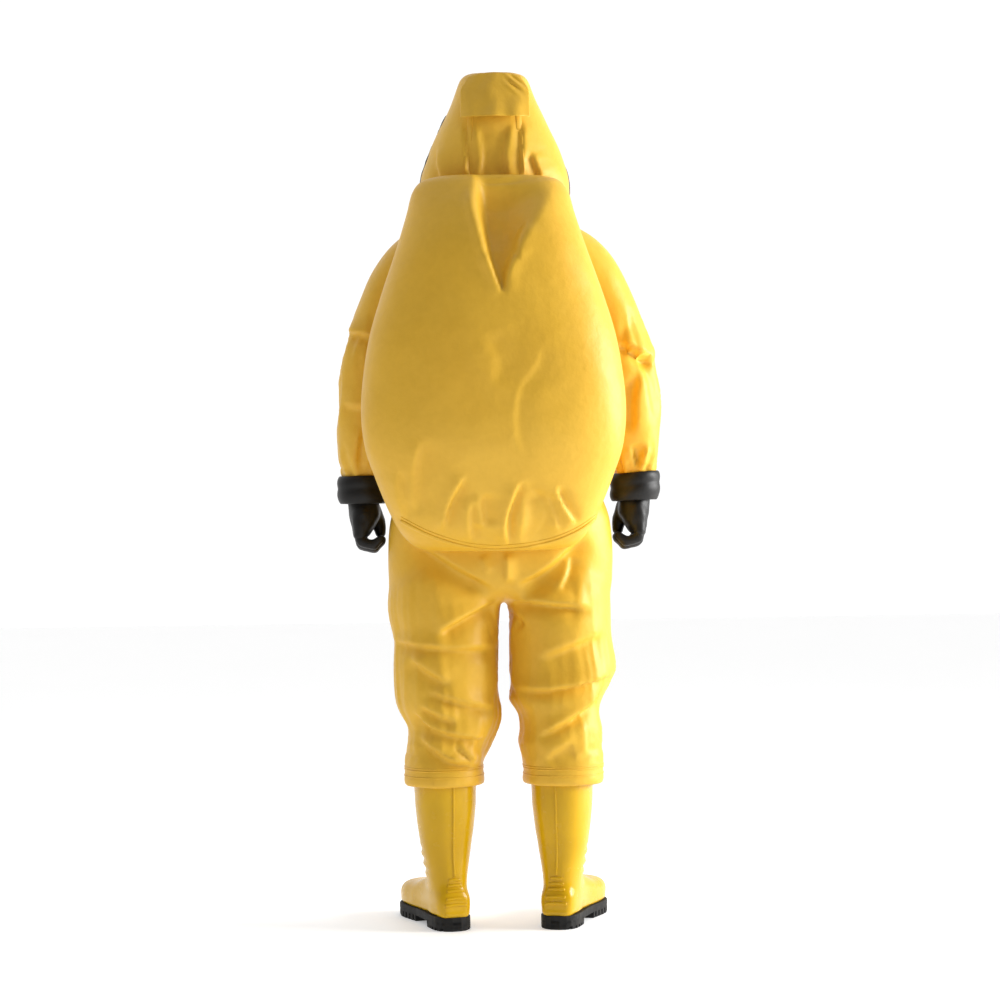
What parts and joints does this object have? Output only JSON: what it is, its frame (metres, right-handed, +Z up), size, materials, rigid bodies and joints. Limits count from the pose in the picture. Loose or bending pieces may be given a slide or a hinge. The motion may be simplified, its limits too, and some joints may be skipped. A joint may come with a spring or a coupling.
{
  "type": "chemical protective suit",
  "caption": "Gas-tight hooded chemical suit with a back housing for breathing apparatus, wraparound visor, ring-cuffed gloves and lugged safety boots, jointed to pose.",
  "frame": {"origin": "on the floor under the boots, at the middle of the suit's bounding box", "axes": "+Z up; the wearer faces -Y and the wearer's left is +X"},
  "size_m": [0.724, 0.5289, 1.884],
  "materials": {
    "coated_fabric": "satin",
    "zip_tape": "matte",
    "zip_metal": "satin",
    "belt_webbing": "matte",
    "black_plastic": "matte",
    "black_rubber": "satin",
    "visor_film": "gloss",
    "boot_pvc": "gloss",
    "sole_rubber": "matte",
    "toe_steel": "satin"
  },
  "bodies": {
    "torso": {"left_front_panel": "coated_fabric", "right_front_panel": "coated_fabric", "seat_panel": "coated_fabric", "housing_top_panel": "coated_fabric", "housing_back_panel": "coated_fabric", "housing_base_panel": "coated_fabric", "zip_tape": "zip_tape", "zip_chain": "zip_metal", "waist_belt": "belt_webbing", "belt_buckle": "black_plastic"},
    "hood": {"neck_fabric": "coated_fabric", "hood_shell": "coated_fabric", "visor_lens": "visor_film", "visor_frame": "black_rubber", "left_exhaust_valve_base": "black_plastic", "left_exhaust_valve_cap": "black_plastic", "right_exhaust_valve_base": "black_plastic", "right_exhaust_valve_cap": "black_plastic"},
    "hood_flap": {"hood_valve_flap": "coated_fabric"},
    "zip_slider": {"zip_slider": "zip_metal"},
    "zip_pull": {"zip_pull": "zip_metal"},
    "zip_cover_flap": {"zip_cover_flap": "coated_fabric"},
    "left_valve_disc": {"left_exhaust_valve_disc": "black_rubber"},
    "left_upper_arm": {"left_shoulder_fabric": "coated_fabric", "left_upper_sleeve": "coated_fabric"},
    "left_forearm": {"left_elbow_fabric": "coated_fabric", "left_forearm_sleeve": "coated_fabric", "left_cuff_ring": "black_plastic", "left_glove_cuff": "black_rubber"},
    "left_hand": {"left_glove_palm": "black_rubber"},
    "left_fingers": {"left_glove_fingers": "black_rubber"},
    "left_thigh": {"left_hip_fabric": "coated_fabric", "left_thigh_fabric": "coated_fabric"},
    "left_shin": {"left_knee_fabric": "coated_fabric", "left_shin_fabric": "coated_fabric", "left_trouser_hem": "coated_fabric"},
    "left_boot": {"left_boot_upper": "boot_pvc", "left_boot_outsole": "sole_rubber", "left_toe_cap": "toe_steel", "left_boot_clamp_ring": "black_plastic"},
    "right_valve_disc": {"right_exhaust_valve_disc": "black_rubber"},
    "right_upper_arm": {"right_shoulder_fabric": "coated_fabric", "right_upper_sleeve": "coated_fabric"},
    "right_forearm": {"right_elbow_fabric": "coated_fabric", "right_forearm_sleeve": "coated_fabric", "right_cuff_ring": "black_plastic", "right_glove_cuff": "black_rubber"},
    "right_hand": {"right_glove_palm": "black_rubber"},
    "right_fingers": {"right_glove_fingers": "black_rubber"},
    "right_thigh": {"right_hip_fabric": "coated_fabric", "right_thigh_fabric": "coated_fabric"},
    "right_shin": {"right_knee_fabric": "coated_fabric", "right_shin_fabric": "coated_fabric", "right_trouser_hem": "coated_fabric"},
    "right_boot": {"right_boot_upper": "boot_pvc", "right_boot_outsole": "sole_rubber", "right_toe_cap": "toe_steel", "right_boot_clamp_ring": "black_plastic"}
  },
  "joints": [
    {"name": "neck_nod", "type": "hinge", "parent": "torso", "child": "hood", "pos_m": [0, -0.06545, 1.55], "axis": [1, 0, 0], "range_deg": [0, 12], "deforming": ["neck_fabric"]},
    {"name": "hood_flap_lift", "type": "hinge", "parent": "hood", "child": "hood_flap", "pos_m": [0, 0.02455, 1.878], "axis": [1, 0, 0], "range_deg": [0, 70]},
    {"name": "left_valve_lift", "type": "slide", "parent": "hood", "child": "left_valve_disc", "axis": [0, 0.9613, 0.2756], "range_m": [0, 0.0025], "stiffness_N_per_m": 40},
    {"name": "right_valve_lift", "type": "slide", "parent": "hood", "child": "right_valve_disc", "axis": [0, 0.9613, 0.2756], "range_m": [0, 0.0025], "stiffness_N_per_m": 40},
    {"name": "zip_run", "type": "slide", "parent": "torso", "child": "zip_slider", "axis": [0, 0, -1], "range_m": [0, 0.61]},
    {"name": "zip_pull_swing", "type": "hinge", "parent": "zip_slider", "child": "zip_pull", "pos_m": [0, -0.22045, 1.488], "axis": [0, 1, 0], "range_deg": [-30, 30]},
    {"name": "zip_cover_open", "type": "hinge", "parent": "torso", "child": "zip_cover_flap", "pos_m": [0.046, -0.21535, 1.139], "axis": [0, 0, 1], "range_deg": [0, 105]},
    {"name": "left_shoulder_swing", "type": "hinge", "parent": "torso", "child": "left_upper_arm", "pos_m": [0.22, -0.07545, 1.43], "axis": [-1, 0, 0], "range_deg": [0, 85], "deforming": ["left_shoulder_fabric"]},
    {"name": "left_elbow_bend", "type": "hinge", "parent": "left_upper_arm", "child": "left_forearm", "pos_m": [0.286, -0.07745, 1.206], "axis": [-1, 0, 0], "range_deg": [0, 88], "deforming": ["left_elbow_fabric"]},
    {"name": "left_wrist_tilt", "type": "hinge", "parent": "left_forearm", "child": "left_hand", "pos_m": [0.304, -0.09545, 0.94], "axis": [0, -1, 0], "range_deg": [-2, 20]},
    {"name": "left_fingers_open", "type": "hinge", "parent": "left_hand", "child": "left_fingers", "pos_m": [0.309, -0.09545, 0.858], "axis": [0, -1, 0], "range_deg": [0, 50]},
    {"name": "left_hip_swing", "type": "hinge", "parent": "torso", "child": "left_thigh", "pos_m": [0.125, -0.07545, 0.86], "axis": [-1, 0, 0], "range_deg": [-12, 45], "deforming": ["left_hip_fabric"]},
    {"name": "left_knee_bend", "type": "hinge", "parent": "left_thigh", "child": "left_shin", "pos_m": [0.118, -0.06345, 0.5], "axis": [1, 0, 0], "range_deg": [0, 82], "deforming": ["left_knee_fabric"]},
    {"name": "left_boot_tilt", "type": "hinge", "parent": "left_shin", "child": "left_boot", "pos_m": [0.13, -0.03545, 0.336], "axis": [1, 0, 0], "range_deg": [-4, 4]},
    {"name": "right_shoulder_swing", "type": "hinge", "parent": "torso", "child": "right_upper_arm", "pos_m": [-0.22, -0.07545, 1.43], "axis": [-1, 0, 0], "range_deg": [0, 85], "deforming": ["right_shoulder_fabric"]},
    {"name": "right_elbow_bend", "type": "hinge", "parent": "right_upper_arm", "child": "right_forearm", "pos_m": [-0.286, -0.07745, 1.206], "axis": [-1, 0, 0], "range_deg": [0, 88], "deforming": ["right_elbow_fabric"]},
    {"name": "right_wrist_tilt", "type": "hinge", "parent": "right_forearm", "child": "right_hand", "pos_m": [-0.304, -0.09545, 0.94], "axis": [0, 1, 0], "range_deg": [-2, 20]},
    {"name": "right_fingers_open", "type": "hinge", "parent": "right_hand", "child": "right_fingers", "pos_m": [-0.309, -0.09545, 0.858], "axis": [0, 1, 0], "range_deg": [0, 50]},
    {"name": "right_hip_swing", "type": "hinge", "parent": "torso", "child": "right_thigh", "pos_m": [-0.125, -0.07545, 0.86], "axis": [-1, 0, 0], "range_deg": [-12, 45], "deforming": ["right_hip_fabric"]},
    {"name": "right_knee_bend", "type": "hinge", "parent": "right_thigh", "child": "right_shin", "pos_m": [-0.118, -0.06345, 0.5], "axis": [1, 0, 0], "range_deg": [0, 82], "deforming": ["right_knee_fabric"]},
    {"name": "right_boot_tilt", "type": "hinge", "parent": "right_shin", "child": "right_boot", "pos_m": [-0.13, -0.03545, 0.336], "axis": [1, 0, 0], "range_deg": [-4, 4]}
  ]
}
